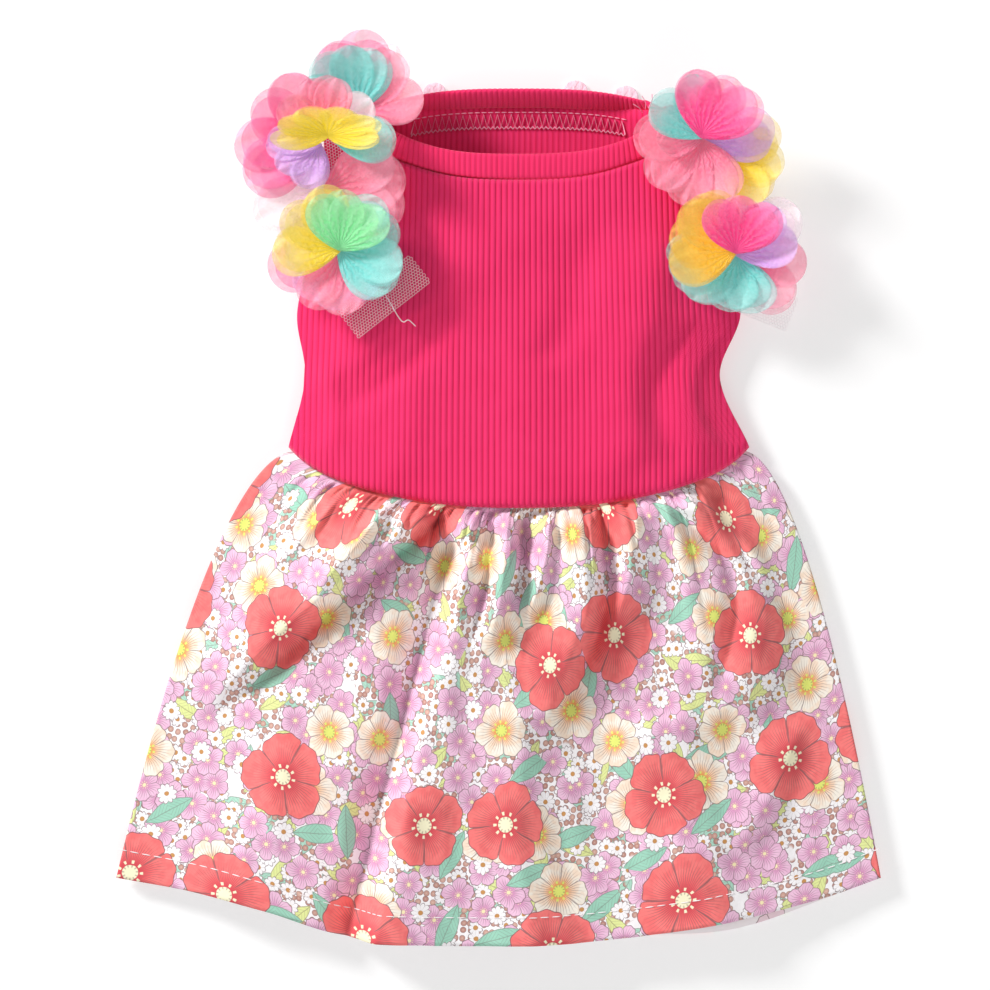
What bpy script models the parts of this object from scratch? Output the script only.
"""A small dog's dress, laid on its back with the neck towards +Y.

Rib-knit bodice, folded neckband, gathered cotton skirt, and rows of organza petals on net tapes
along both armholes. Metres, +Z up, the surface it lies on at Z = 0, the origin on the flat
underside of the bodice back.
"""
import math

import bmesh
import bpy
from mathutils import Vector
from mathutils.bvhtree import BVHTree

# Bodice, measured from the origin at the middle of the chest
ORIGIN_TO_WAIST = 0.0169
SIDE_SEAM = 0.049
BODICE_LENGTH = 0.119
WAIST_HALF_WIDTH = 0.0832
HOLLOW_LEFT = 0.0772
HOLLOW_RIGHT = 0.0725
UNDERARM_HALF_WIDTH = 0.0800
SHOULDER_HALF_WIDTH = 0.0700
SHOULDER_SLOPE = 0.003
WAIST_DIP = 0.0220
BODICE_WALL = 0.0016
BODICE_LOFT = 0.0120
ARMHOLE_GAPE = 0.0150
SIDE_LIFT = 0.0030
SHOULDER_LIFT = 0.0035

# Neckband. At its corners the front edge turns into the back edge within a share of the cosine of
# the turn, and the band flares out to the side
NECK_HALF_WIDTH = 0.0470
BAND_WIDTH = 0.0090
BAND_THICKNESS = 0.0022
FRONT_NECK_DEPTH = 0.0150
FRONT_NECK_RISE = 0.0098
BACK_NECK_RISE = 0.0100
BACK_NECK_BOW = 0.0045
BACK_BAND_TILT = math.radians(48)
CORNER_SHARE = 0.6
CORNER_FLARE = 11
BAND_STATIONS = 48

# Skirt
SKIRT_LENGTH = 0.1569
HEM_LEFT = 0.1454
HEM_RIGHT = 0.1307
HEM_BOW = 0.0234
SKIRT_WALL = 0.0010
SKIRT_LOFT = 0.0125
SKIRT_TUCK = 0.0040
SKIRT_INSET = 0.0065
BACK_HEM_DROP = 0.0040
GATHER_COUNT = 20
GATHER_HEIGHT = 0.0016
FOLD_FADE = 0.04

# Petals and tapes
PETAL_WALL = 0.0010
HUB_RADIUS = 0.0032
PETAL_REACH = 0.0240
TAPE_WIDTH = 0.0130
TAPE_WALL = 0.0010

CLEARANCE = 0.00035
SETTLE_MARGIN = 0.0008
CLOSEST_SEAM_POINTS = 0.0002
RAY_START = 0.2

# Colours as red, green, blue from 0 to 1
ROSE = (0.95, 0.045, 0.16)
DARK_ROSE = (0.85, 0.03, 0.12)
PRINT = (0.85, 0.55, 0.58)
NET = (0.93, 0.88, 0.90)
HOT_PINK = (1.0, 0.09, 0.33)
SALMON = (0.93, 0.33, 0.42)
PALE = (0.93, 0.78, 0.82)
AQUA = (0.25, 0.65, 0.62)
MINT = (0.35, 0.75, 0.42)
YELLOW = (0.88, 0.66, 0.05)
AMBER = (0.95, 0.55, 0.05)
LILAC = (0.68, 0.42, 0.75)

# Points of a smooth line: share of the length, share of the width
HEM_LINE = (
    (-1.00, 1.00), (-0.78, 0.77), (-0.60, 0.49), (-0.39, 0.10), (-0.20, 0.02), (0.00, 0.00),
    (0.20, 0.03), (0.47, 0.21), (0.68, 0.44), (0.865, 0.72), (1.00, 1.00),
)

# Folds of the skirt front. Each runs through three points, given as share down the skirt and
# share of the half width, and has its height as a share of the loft, its half width as a share of
# the skirt's half width, and its lean, which is above 0 where the side towards +X is the steep one
#   down and across at the start, middle and end           height  width  lean
SKIRT_FOLDS = (
    (0.00, -0.340, 0.26, -0.640, 0.62, -0.930, 0.42, 0.085, 0.75),
    (0.10, -0.150, 0.50, -0.235, 1.00, -0.320, 0.38, 0.070, -0.75),
    (0.00, -0.026, 0.14, -0.022, 0.32, -0.060, 0.22, 0.045, 0.40),
    (0.00, -0.190, 0.10, -0.200, 0.24, -0.220, 0.20, 0.045, -0.30),
    (0.00, 0.290, 0.22, 0.270, 0.50, 0.110, 0.34, 0.065, 0.60),
    (0.00, 0.480, 0.12, 0.440, 0.30, 0.330, 0.22, 0.055, 0.30),
    (0.00, 0.666, 0.22, 0.850, 0.58, 0.700, 0.40, 0.070, 0.70),
    (0.60, 0.860, 0.70, 0.780, 0.84, 0.650, 0.18, 0.050, 0.50),
    (0.45, 0.060, 0.75, 0.050, 1.00, 0.090, 0.20, 0.110, 0.00),
    (0.50, 0.480, 0.78, 0.520, 1.00, 0.560, 0.16, 0.120, 0.20),
    (0.62, -0.620, 0.82, -0.660, 1.00, -0.700, 0.16, 0.110, -0.20),
)

# Soft folds of the bodice front, in the same columns, from the waist to the shoulder
BODICE_FOLDS = (
    (0.00, 0.800, 0.20, 0.760, 0.42, 0.950, 0.16, 0.110, 0.40),
    (0.05, 0.420, 0.40, 0.520, 0.75, 0.640, 0.10, 0.160, 0.00),
    (0.30, -0.850, 0.50, -0.620, 0.72, -0.420, 0.12, 0.130, 0.30),
)

# Petal clusters. The hub is given as a share up the armhole and a share of the half width there.
# Each fan of petals has its direction and spread in degrees, its reach as a share of
# PETAL_REACH, the share of that reach that is left along Y, its petals, and its rise in degrees
LEFT, RIGHT = -1, 1
#   fan name              side   hub up  hub out  turn  spread  reach  along_y  petals  rise  colour
PETAL_FANS = (
    ("left_middle_pale", LEFT, 0.62, 0.97, 203, 112, 1.22, 1.00, 3, 2, PALE),
    ("left_middle_salmon", LEFT, 0.62, 0.97, 6, 84, 1.20, 1.00, 3, 8, SALMON),
    ("left_top_pale", LEFT, 1.03, 0.81, 64, 44, 1.10, 1.00, 1, 6, PALE),
    ("left_top_hot_pink", LEFT, 1.03, 0.81, 100, 56, 1.20, 1.00, 2, 8, HOT_PINK),
    ("left_top_salmon", LEFT, 1.03, 0.81, 34, 80, 1.05, 1.00, 2, 14, SALMON),
    ("left_top_aqua", LEFT, 1.03, 0.83, 116, 122, 0.95, 1.00, 4, 16, AQUA),
    ("left_upper_hot_pink", LEFT, 0.85, 1.05, 164, 130, 1.18, 1.00, 4, 4, HOT_PINK),
    ("left_upper_lilac", LEFT, 0.84, 1.02, 216, 120, 0.85, 0.80, 3, 8, LILAC),
    ("left_upper_pale", LEFT, 0.90, 0.96, 42, 44, 0.86, 1.00, 1, 10, PALE),
    ("left_upper_grey_aqua", LEFT, 0.90, 0.96, 354, 40, 1.02, 1.00, 1, 8, AQUA),
    ("left_upper_salmon", LEFT, 0.90, 0.98, 112, 96, 0.86, 1.00, 3, 16, SALMON),
    ("left_upper_yellow", LEFT, 0.88, 0.97, 92, 248, 0.86, 0.52, 6, 14, YELLOW),
    ("left_lower_hot_pink", LEFT, 0.30, 0.86, 202, 34, 1.12, 1.00, 1, 3, HOT_PINK),
    ("left_lower_lilac", LEFT, 0.30, 0.86, 226, 190, 0.90, 1.00, 5, 5, LILAC),
    ("left_lower_pink", LEFT, 0.28, 0.86, 262, 62, 0.92, 1.00, 2, 9, SALMON),
    ("left_lower_aqua", LEFT, 0.30, 0.86, 4, 118, 1.02, 1.00, 4, 10, AQUA),
    ("left_lower_yellow", LEFT, 0.31, 0.87, 150, 112, 1.00, 1.00, 3, 14, YELLOW),
    ("left_lower_mint", LEFT, 0.31, 0.86, 78, 100, 0.86, 1.00, 3, 20, MINT),
    ("right_upper_yellow", RIGHT, 0.78, 1.04, 352, 100, 0.96, 1.00, 3, 3, YELLOW),
    ("right_upper_lilac", RIGHT, 0.86, 0.96, 8, 30, 1.10, 1.00, 1, 8, LILAC),
    ("right_upper_salmon", RIGHT, 0.86, 0.93, 236, 146, 1.06, 1.00, 4, 8, SALMON),
    ("right_upper_light_pink", RIGHT, 0.88, 0.93, 168, 84, 0.70, 1.00, 2, 10, SALMON),
    ("right_upper_pale_aqua", RIGHT, 0.89, 0.93, 124, 66, 0.94, 1.00, 2, 14, AQUA),
    ("right_upper_hot_pink", RIGHT, 0.89, 0.93, 62, 90, 1.00, 1.00, 3, 16, HOT_PINK),
    ("right_lower_pale", RIGHT, 0.30, 1.05, 32, 28, 1.14, 1.00, 1, 2, PALE),
    ("right_lower_sheer_pink", RIGHT, 0.28, 1.05, 338, 70, 1.12, 1.00, 2, 4, SALMON),
    ("right_lower_aqua", RIGHT, 0.27, 1.04, 232, 136, 1.14, 0.78, 5, 5, AQUA),
    ("right_lower_lilac", RIGHT, 0.29, 1.05, 30, 64, 0.98, 1.00, 2, 10, LILAC),
    ("right_lower_amber", RIGHT, 0.30, 1.03, 158, 104, 1.06, 1.00, 4, 14, AMBER),
    ("right_lower_hot_pink", RIGHT, 0.30, 1.04, 84, 118, 0.88, 1.00, 3, 20, HOT_PINK),
)

# Net tapes under the petals: side, centre up the armhole and out, turn in degrees, length as a
# share of the tape's width
NET_TAPES = (
    ("left_upper_net", LEFT, 0.84, 0.96, 96, 2.9),
    ("left_lower_net", LEFT, 0.07, 0.61, 218, 2.6),
    ("right_upper_net", RIGHT, 0.70, 1.10, 300, 2.7),
    ("right_lower_net", RIGHT, 0.06, 1.05, 338, 2.4),
)

# Pale petals that lie behind the back of the neckband: across, as a share of NECK_HALF_WIDTH,
# and half width as a share of PETAL_REACH
BACK_PETALS = (
    ("back_neck_petal_left", -0.65, 0.26),
    ("back_neck_petal_middle", 0.44, 0.30),
    ("back_neck_petal_right", 0.82, 0.28),
)
BACK_PETAL_PEEK = 0.0042

WAIST_Y = -ORIGIN_TO_WAIST
UNDERARM_Y = WAIST_Y + SIDE_SEAM
SHOULDER_Y = WAIST_Y + BODICE_LENGTH
ARMHOLE_HEIGHT = SHOULDER_Y - UNDERARM_Y


def clamp(value, low=0.0, high=1.0):
    return max(low, min(high, value))


def mix(a, b, share):
    return a + (b - a) * share


def ease(share):
    share = clamp(share)
    return share * share * (3 - 2 * share)


def through(points, at):
    """The height at a place on the smooth line through (place, height) points."""
    if at <= points[0][0]:
        return points[0][1]
    if at >= points[-1][0]:
        return points[-1][1]
    k = max(i for i, point in enumerate(points) if point[0] <= at)

    def slope(i):
        before, after = points[max(i - 1, 0)], points[min(i + 1, len(points) - 1)]
        return (after[1] - before[1]) / (after[0] - before[0])

    (x0, y0), (x1, y1) = points[k], points[k + 1]
    span = x1 - x0
    t = (at - x0) / span
    return (
        y0 * (1 + 2 * t) * (1 - t) ** 2
        + slope(k) * span * t * (1 - t) ** 2
        + y1 * t * t * (3 - 2 * t)
        - slope(k + 1) * span * t * t * (1 - t)
    )


def side_line(y, side):
    """How far the bodice's edge lies from the centre: side seam below, armhole above."""
    hollow = HOLLOW_LEFT if side < 0 else HOLLOW_RIGHT
    line = (
        (WAIST_Y, WAIST_HALF_WIDTH),
        (WAIST_Y + 0.52 * SIDE_SEAM, hollow),
        (UNDERARM_Y, UNDERARM_HALF_WIDTH),
        (UNDERARM_Y + 0.45 * ARMHOLE_HEIGHT, mix(SHOULDER_HALF_WIDTH, UNDERARM_HALF_WIDTH, 0.18)),
        (SHOULDER_Y, SHOULDER_HALF_WIDTH),
    )
    return through(line, y)


def across(x, y):
    """0 on the centre line, 1 on a closed side; an armhole's edge stays below 1, so it gapes."""
    side = -1 if x < 0 else 1
    gape = ARMHOLE_GAPE * ease((y - UNDERARM_Y) / (0.4 * ARMHOLE_HEIGHT))
    return abs(x) / (side_line(y, side) + gape)


def shoulder_line(x):
    return SHOULDER_Y + SHOULDER_SLOPE * (1 - abs(x) / SHOULDER_HALF_WIDTH)


def back_rise(x, y):
    """The underside of the back: flat on the surface, curling up at the sides and shoulders."""
    curl = SIDE_LIFT * clamp((across(x, y) - 0.75) / 0.25) ** 2
    near = ease((y - shoulder_line(x) + 0.2 * ARMHOLE_HEIGHT) / (0.2 * ARMHOLE_HEIGHT))
    out = ease((abs(x) - 0.75 * NECK_HALF_WIDTH) / (0.35 * NECK_HALF_WIDTH))
    return max(curl, SHOULDER_LIFT * near * out)


def fold_height(folds, down, side_share):
    """The sum of a table's folds at a share down and a share of the half width, in lofts."""
    total = 0.0
    for v0, s0, v1, s1, v2, s2, height, width, lean in folds:
        if not v0 - FOLD_FADE < down < v2 + FOLD_FADE:
            continue
        line = through(((v0, s0), (v1, s1), (v2, s2)), down)
        off = (side_share - line) / width
        off *= (1 + lean) if off > 0 else (1 - lean)
        fade_in = ease((down - v0 + FOLD_FADE) / (2 * FOLD_FADE)) if v0 > 0 else 1.0
        fade_from = mix(v1, v2, 0.4)
        fade_out = 1 - ease((down - fade_from) / (v2 + FOLD_FADE - fade_from)) if v2 < 1 else 1.0
        total += height * math.exp(-off * off) * fade_in * fade_out
    return total


def bodice_inside(x, y):
    """The inner face of the bodice front above the surface."""
    close_from = shoulder_line(x) - 0.3 * ARMHOLE_HEIGHT
    closing = clamp((y - close_from) / (shoulder_line(x) - close_from))
    beside_neck = ease((abs(x) - 0.5 * NECK_HALF_WIDTH) / (0.5 * NECK_HALF_WIDTH))
    closing = mix(1.0, math.sqrt(1 - closing ** 2), beside_neck)
    up = (y - WAIST_Y + WAIST_DIP) / (BODICE_LENGTH + WAIST_DIP)
    crown = (1 - across(x, y) ** 4) * (1 + fold_height(BODICE_FOLDS, up, x / WAIST_HALF_WIDTH))
    return back_rise(x, y) + BODICE_WALL + CLEARANCE + BODICE_LOFT * crown * closing


def waist_line(share):
    """The y of the waist seam at a share of the waist's half width."""
    share = abs(share)
    return WAIST_Y - WAIST_DIP * (1 - 0.77 * share ** 2.3 - 0.23 * share ** 12)


def band_edge(turn, front_share):
    """A point of the neckband's folded edge: x, y and z, at a turn round the neck."""
    x = NECK_HALF_WIDTH * math.sin(turn)
    bow = abs(math.sin(turn)) ** 3
    front_y = SHOULDER_Y - FRONT_NECK_DEPTH + FRONT_NECK_RISE * bow + SHOULDER_SLOPE * 0.4
    back_y = SHOULDER_Y + BACK_NECK_RISE - BACK_NECK_BOW * bow
    front_z = bodice_inside(x, front_y - BAND_WIDTH * (1 - bow)) + BODICE_WALL / 2
    back_z = back_rise(x, SHOULDER_Y) + BAND_THICKNESS / 2
    back_z += BAND_WIDTH * math.sin(BACK_BAND_TILT) * (1 - bow)
    return Vector((x, mix(back_y, front_y, front_share), mix(back_z, front_z, front_share)))


def band_frame(turn):
    """The neckband at a turn: its folded edge, the way down its width, and its outward normal."""

    def front_share(angle):
        return ease(0.5 + math.cos(angle) / CORNER_SHARE)

    nearby = 0.01
    angles = (turn - nearby, turn, turn + nearby)
    before, point, after = [band_edge(angle, front_share(angle)) for angle in angles]
    lean = abs(math.sin(turn)) ** CORNER_FLARE
    drop = -math.sin(BACK_BAND_TILT) * (1 - front_share(turn)) * (1 - lean)
    level = -(1 - 0.85 * lean) * math.sqrt(1 - drop * drop)
    down = Vector((math.copysign(lean, math.sin(turn)), level, drop)).normalized()
    return point, down, -(after - before).cross(down).normalized()


def neck_seam(front):
    """The neckband's seam as (x, y) pairs from left to right, on the front or the back half."""
    line = []
    for k in range(-24, 25):
        turn = math.radians(k * 90 / 24)
        turn = turn if front else math.pi - turn
        point, down, out = band_frame(turn)
        seam = point + down * (BAND_WIDTH + 1.5 * CLEARANCE * (1 + abs(down.x)))
        line.append((seam.x, seam.y - abs(out.y) * BAND_THICKNESS / 2))
    line.sort()
    kept = [line[0]]
    for pair in line[1:]:
        if pair[0] > kept[-1][0] + CLOSEST_SEAM_POINTS:
            kept.append(pair)
    return kept


def bodice_top(share, seam):
    """The y of the bodice's upper edge at a share of its half width."""
    side = -1 if share < 0 else 1
    x = share * SHOULDER_HALF_WIDTH
    for _ in range(4):
        y = shoulder_line(x) - 3 * CLEARANCE
        if seam[0][0] < x < seam[-1][0]:
            y = min(y, through(seam, x))
        x = share * side_line(y, side)
    return y


def bodice_plan(share, up, seam):
    """The x and y of a bodice panel at a share across and a share up."""
    side = -1 if share < 0 else 1
    y = mix(waist_line(share), bodice_top(share, seam), up)
    return share * side_line(y, side), y


def skirt_plan(share, down, front=True):
    """The x and y of the skirt at a share across and a share down from its tucked-in edge."""
    hem_middle = (HEM_RIGHT - HEM_LEFT) / 2
    hem_half = (HEM_RIGHT + HEM_LEFT) / 2
    top_x = share * (WAIST_HALF_WIDTH - SKIRT_INSET)
    top_y = waist_line(top_x / WAIST_HALF_WIDTH) + SKIRT_TUCK
    hem_y = WAIST_Y - WAIST_DIP - SKIRT_LENGTH + HEM_BOW * through(HEM_LINE, share)
    if not front:
        hem_y -= BACK_HEM_DROP * math.exp(-(((share - 0.62) / 0.2) ** 2))
    flare = clamp((down - skirt_hidden()) / (1 - skirt_hidden())) ** 0.57
    x = mix(top_x, hem_middle + share * hem_half, flare)
    return x, mix(top_y, hem_y, down)


def skirt_hidden():
    """The share of the skirt's length that is tucked into the bodice."""
    return (SKIRT_TUCK + CLEARANCE) / (SKIRT_LENGTH + SKIRT_TUCK)


def skirt_rise(share):
    return SIDE_LIFT * clamp((abs(share) - 0.8) / 0.2) ** 2


def skirt_front_under(share, down):
    """The inner face of the skirt front above the surface."""
    x = share * (WAIST_HALF_WIDTH - SKIRT_INSET)
    tucked = bodice_inside(x, waist_line(x / WAIST_HALF_WIDTH)) - 2 * CLEARANCE - SKIRT_WALL
    visible = clamp((down - skirt_hidden()) / (1 - skirt_hidden()))
    crown = 1 - abs(share) ** 3.5
    folds = fold_height(SKIRT_FOLDS, visible, share)
    gathers = GATHER_HEIGHT * math.sin(GATHER_COUNT * math.pi * share) * math.exp(-visible / 0.16)
    spread = mix(1.0, 0.8, ease(visible))
    free = skirt_rise(share) + SKIRT_WALL + CLEARANCE
    free += (SKIRT_LOFT * (spread + folds) + gathers) * crown
    return mix(tucked, free, ease(visible / 0.07))


def skirt_back_under(share, down):
    """The underside of the skirt back: over the bodice's wall at the waist, then on the surface."""
    x = share * (WAIST_HALF_WIDTH - SKIRT_INSET)
    tucked = back_rise(x, waist_line(x / WAIST_HALF_WIDTH)) + BODICE_WALL + CLEARANCE
    visible = clamp((down - skirt_hidden()) / (1 - skirt_hidden()))
    return mix(tucked, skirt_rise(share), ease(visible / 0.07))


def material(name, colour, roughness):
    made = bpy.data.materials.new(name)
    made.use_nodes = True
    shader = made.node_tree.nodes["Principled BSDF"]
    shader.inputs["Base Color"].default_value = (*colour, 1.0)
    shader.inputs["Roughness"].default_value = roughness
    shader.inputs["Metallic"].default_value = 0.0
    return made


def make_object(name, mesh_source, colour, roughness=0.8):
    """A closed body from a bmesh, shaded smooth, with its own material."""
    bmesh.ops.recalc_face_normals(mesh_source, faces=mesh_source.faces)
    mesh = bpy.data.meshes.new(name)
    mesh_source.to_mesh(mesh)
    mesh.shade_smooth()
    mesh.materials.append(material(name, colour, roughness))
    made = bpy.data.objects.new(name, mesh)
    bpy.context.scene.collection.objects.link(made)
    return made


def thicken(sheet, wall):
    """Give a sheet of faces that look up a wall above them, closed round its edge."""
    under = list(sheet.faces)
    sheet.normal_update()
    lower = list(sheet.verts)
    upper = {}
    for vert in lower:
        upper[vert] = sheet.verts.new(vert.co + vert.normal * wall * vert.calc_shell_factor())
    edges = [edge for edge in sheet.edges if edge.is_boundary]
    for face in under:
        sheet.faces.new([upper[vert] for vert in face.verts])
    for edge in edges:
        loop = edge.link_loops[0]
        a, b = loop.vert, loop.link_loop_next.vert
        sheet.faces.new((a, b, upper[b], upper[a]))
    for face in under:
        face.normal_flip()
    return sheet


def grid_sheet(columns, rows, place):
    """A bmesh grid of faces that look up, with place(column, row) giving each corner."""
    sheet = bmesh.new()
    corners = [[sheet.verts.new(place(i, j)) for i in range(columns + 1)] for j in range(rows + 1)]
    for j in range(rows):
        for i in range(columns):
            quad = (corners[j][i], corners[j][i + 1], corners[j + 1][i + 1], corners[j + 1][i])
            sheet.faces.new(quad)
    bmesh.ops.recalc_face_normals(sheet, faces=sheet.faces)
    sheet.faces.ensure_lookup_table()
    sheet.normal_update()
    if sum(face.normal.z for face in sheet.faces) < 0:
        bmesh.ops.reverse_faces(sheet, faces=sheet.faces)
    return sheet


def bodice_panel(name, front, columns, rows):
    seam = neck_seam(front)

    def place(i, j):
        share = math.sin(math.pi / 2 * mix(-1, 1, i / columns)) * 0.35 + mix(-1, 1, i / columns) * 0.65
        x, y = bodice_plan(share, j / rows, seam)
        z = bodice_inside(x, y) if front else back_rise(x, y)
        return Vector((x, y, z))

    return make_object(name, thicken(grid_sheet(columns, rows, place), BODICE_WALL), ROSE, 0.85)


def skirt_panel(name, front, columns, rows):
    """A skirt panel, with rows at the bodice's lower edge and close together just below it."""
    hidden = skirt_hidden()
    lines = [0.0, hidden, hidden + 0.02, hidden + 0.055]
    lines += [mix(lines[-1], 1.0, (k / rows) ** 1.3) for k in range(1, rows + 1)]

    def place(i, j):
        share = mix(-1, 1, i / columns)
        down = lines[j]
        x, y = skirt_plan(share, down, front)
        z = skirt_front_under(share, down) if front else skirt_back_under(share, down)
        return Vector((x, y, z))

    sheet = grid_sheet(columns, len(lines) - 1, place)
    return make_object(name, thicken(sheet, SKIRT_WALL), PRINT, 0.9)


def neckband():
    """One closed ring: a flattened fold swept round the neck."""
    section = ((0.0, 0.0), (0.16, 0.5), (1.0, 0.5), (1.0, -0.5), (0.16, -0.5))
    ring = bmesh.new()
    loops = []
    for k in range(BAND_STATIONS):
        even = 2 * math.pi * k / BAND_STATIONS
        point, down, out = band_frame(even + 0.35 * math.sin(2 * even))
        loops.append([
            ring.verts.new(point + down * (BAND_WIDTH * across_share) + out * (BAND_THICKNESS * side))
            for across_share, side in section
        ])
        for vert in loops[-1]:
            vert.co.z = max(vert.co.z, 0.0)
    for k, loop in enumerate(loops):
        after = loops[(k + 1) % BAND_STATIONS]
        for i in range(len(section)):
            n = (i + 1) % len(section)
            ring.faces.new((loop[i], loop[n], after[n], after[i]))
    return make_object("neckband", ring, DARK_ROSE, 0.85)


def highest_under(x, y, margin, solids):
    """The top of what is already made, at a point and round it."""
    top = 0.0
    ring = [(math.cos(k * math.pi / 4), math.sin(k * math.pi / 4)) for k in range(8)]
    for dx, dy in [(0, 0), *ring]:
        start = Vector((x + dx * margin, y + dy * margin, RAY_START))
        for tree in solids:
            hit = tree.ray_cast(start, Vector((0, 0, -1)))[0]
            if hit is not None:
                top = max(top, hit.z)
    return top


def face_points(face, samples):
    """Points spread over a face of three or four corners."""
    corners = [vert.co for vert in face.verts]
    points = []
    for i in range(samples + 1):
        for j in range(samples + 1):
            a, b = i / samples, j / samples
            if len(corners) == 4:
                points.append(mix(mix(corners[0], corners[1], a), mix(corners[3], corners[2], a), b))
            elif i + j <= samples:
                points.append(corners[0] * a + corners[1] * b + corners[2] * (1 - a - b))
    return points


def settle(sheet, solids, samples=5, passes=4):
    """Raise a sheet's corners until each face clears what lies under it, then rest it there."""
    for _ in range(passes):
        raised = {}
        slack = 1.0
        for face in sheet.faces:
            for point in face_points(face, samples):
                need = highest_under(point.x, point.y, SETTLE_MARGIN, solids) + CLEARANCE - point.z
                slack = min(slack, -need)
                for vert in face.verts:
                    raised[vert] = max(raised.get(vert, 0.0), need)
        if slack >= 0:
            break
        for vert, need in raised.items():
            vert.co.z += max(need, 0.0)
    for vert in sheet.verts:
        vert.co.z -= max(slack, 0.0)


def armhole_point(side, up, out):
    """A place by the armhole: a share up from the underarm and a share of the half width there."""
    y = UNDERARM_Y + up * ARMHOLE_HEIGHT
    return side * out * side_line(y, side), y


def petal_fan(hub_x, hub_y, turn, spread, reach, along_y, petals, rise, solids):
    """A row of petals joined at a hub, settled on what lies under it."""
    stations = [turn + spread * (k / (4 * petals) - 0.5) for k in range(4 * petals + 1)]
    rest = 360 - spread
    stations += [turn + spread / 2 + rest * k / 4 for k in range(1, 4)]
    base = highest_under(hub_x, hub_y, 1.4 * HUB_RADIUS, solids) + CLEARANCE
    sheet = bmesh.new()
    centre = sheet.verts.new((hub_x, hub_y, base))
    rings = []
    for share in (0.45, 1.0):
        ring = []
        for k, angle in enumerate(stations):
            radius = HUB_RADIUS
            lobe = k / (4 * petals)
            if lobe <= 1:
                scallop = 0.74 + 0.26 * abs(math.sin(math.pi * petals * lobe)) ** 0.5
                ends = clamp(math.sin(math.pi * clamp(lobe, 0.02, 0.98)) * (1 + petals)) ** 0.6
                radius = max(HUB_RADIUS, reach * scallop * ends)
            far = radius * share
            a = math.radians(angle)
            ruffle = 0.05 * far * math.sin(math.pi * petals * lobe * 2) * share
            z = base + far * math.tan(math.radians(rise)) + ruffle * (radius > HUB_RADIUS)
            place = (hub_x + far * math.cos(a), hub_y + far * along_y * math.sin(a), z)
            ring.append(sheet.verts.new(place))
        rings.append(ring)
    count = len(stations)
    for k in range(count):
        n = (k + 1) % count
        sheet.faces.new((centre, rings[0][k], rings[0][n]))
        sheet.faces.new((rings[0][k], rings[1][k], rings[1][n], rings[0][n]))
    settle(sheet, solids)
    return thicken(sheet, PETAL_WALL)


def tape_sheet(side, up, out, turn, length, solids):
    """A strip of net, settled on what lies under it."""
    x, y = armhole_point(side, up, out)
    a = math.radians(turn)
    along = Vector((math.cos(a), math.sin(a), 0)) * (TAPE_WIDTH * length)
    wide = Vector((-math.sin(a), math.cos(a), 0)) * TAPE_WIDTH
    columns, rows = 5, 2
    base = highest_under(x, y, 0.9 * TAPE_WIDTH, solids) + CLEARANCE

    def place(i, j):
        return Vector((x, y, base)) + along * (i / columns - 0.5) + wide * (j / rows - 0.5)

    sheet = grid_sheet(columns, rows, place)
    settle(sheet, solids)
    return thicken(sheet, TAPE_WALL)


def petals_and_tapes(carriers):
    """The net tapes and petal fans, each settled on all that was made before it."""
    depsgraph = bpy.context.evaluated_depsgraph_get()
    solids = [BVHTree.FromObject(carrier, depsgraph) for carrier in carriers]
    for name, side, up, out, turn, length in NET_TAPES:
        tape = tape_sheet(side, up, out, turn, length, solids)
        make_object(name, tape, NET, 0.9)
        solids.append(BVHTree.FromBMesh(tape))
    for name, side, up, out, turn, spread, reach, along_y, petals, rise, colour in PETAL_FANS:
        x, y = armhole_point(side, up, out)
        fan = petal_fan(x, y, turn, spread, reach * PETAL_REACH, along_y, petals, rise, solids)
        make_object(name, fan, colour, 0.6)
        solids.append(BVHTree.FromBMesh(fan))


def under_back_band(x):
    """Where, at a place across, the back band's underside clears a petal, and its edge's y."""
    turn = math.pi - math.asin(clamp(x / NECK_HALF_WIDTH, -0.99, 0.99))
    point, down, out = band_frame(turn)
    high = point + out * (BAND_THICKNESS / 2)
    low = high + down * BAND_WIDTH
    low.z = max(low.z, 0.0)
    share = clamp((PETAL_WALL + 2 * CLEARANCE - low.z) / (high.z - low.z), 0.0, 0.9)
    return mix(low.y, high.y, share) + CLEARANCE, point.y


def back_petals():
    """Three flat petals on the surface, tucked under the tilted back of the neckband."""
    for name, across_share, half in BACK_PETALS:
        x = across_share * NECK_HALF_WIDTH
        reach = half * PETAL_REACH

        def place(i, j):
            t = mix(-1, 1, i / 6)
            low, edge = under_back_band(x + t * reach)
            tip = edge + BACK_PETAL_PEEK * math.sqrt(1 - 0.92 * t * t)
            return Vector((x + t * reach, mix(low, tip, j / 2), 0.0))

        make_object(name, thicken(grid_sheet(6, 2, place), PETAL_WALL), PALE, 0.6)


def build():
    for old in list(bpy.data.objects):
        bpy.data.objects.remove(old, do_unlink=True)
    back = bodice_panel("bodice_back", front=False, columns=24, rows=8)
    front = bodice_panel("bodice_front", front=True, columns=32, rows=10)
    band = neckband()
    skirt_panel("skirt_back", front=False, columns=32, rows=3)
    skirt_panel("skirt_front", front=True, columns=80, rows=8)
    back_petals()
    petals_and_tapes((back, front, band))


build()
